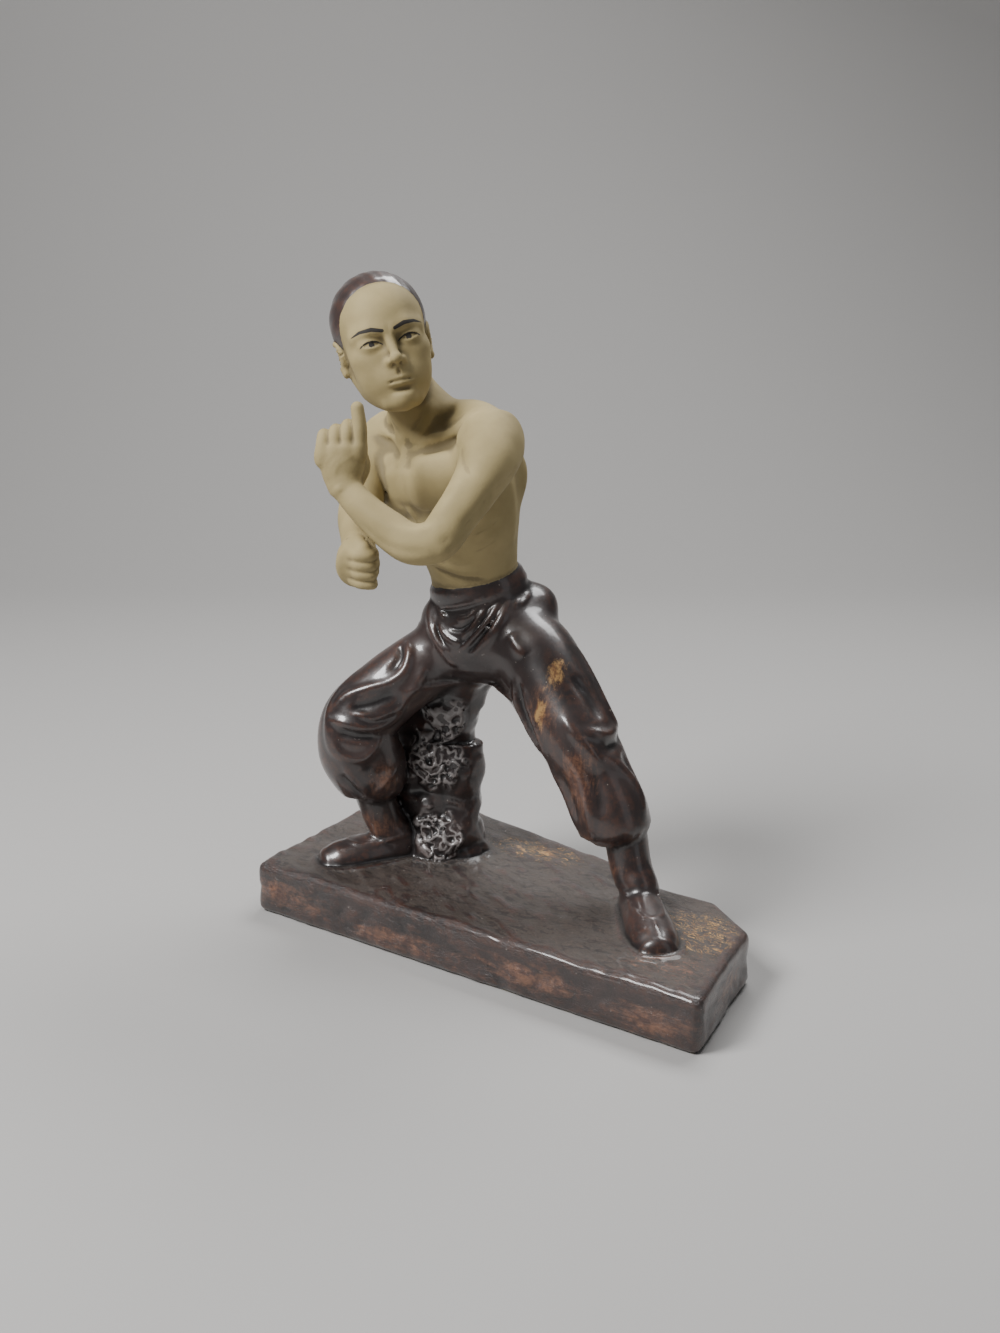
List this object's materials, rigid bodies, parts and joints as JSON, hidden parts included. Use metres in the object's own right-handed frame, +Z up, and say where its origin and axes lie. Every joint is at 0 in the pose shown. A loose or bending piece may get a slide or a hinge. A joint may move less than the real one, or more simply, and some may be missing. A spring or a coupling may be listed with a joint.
{
  "type": "mudman figurine",
  "caption": "Glazed clay figurine of a bare-chested boxer in a low guard stance, backed by a rock on an irregular slab.",
  "frame": {"origin": "middle of the slab's flat underside, which is the plane it rests on", "axes": "+Z up along the figure's height, +X along the slab's straight front edge towards the figure's outstretched left leg, -Y towards the front edge"},
  "size_m": [0.2462, 0.1481, 0.2997],
  "materials": {
    "glazed_clay": "glossy dark brown glaze, with bare matte clay on the skin"
  },
  "bodies": {
    "root": {"figurine": "glazed_clay"}
  },
  "joints": []
}
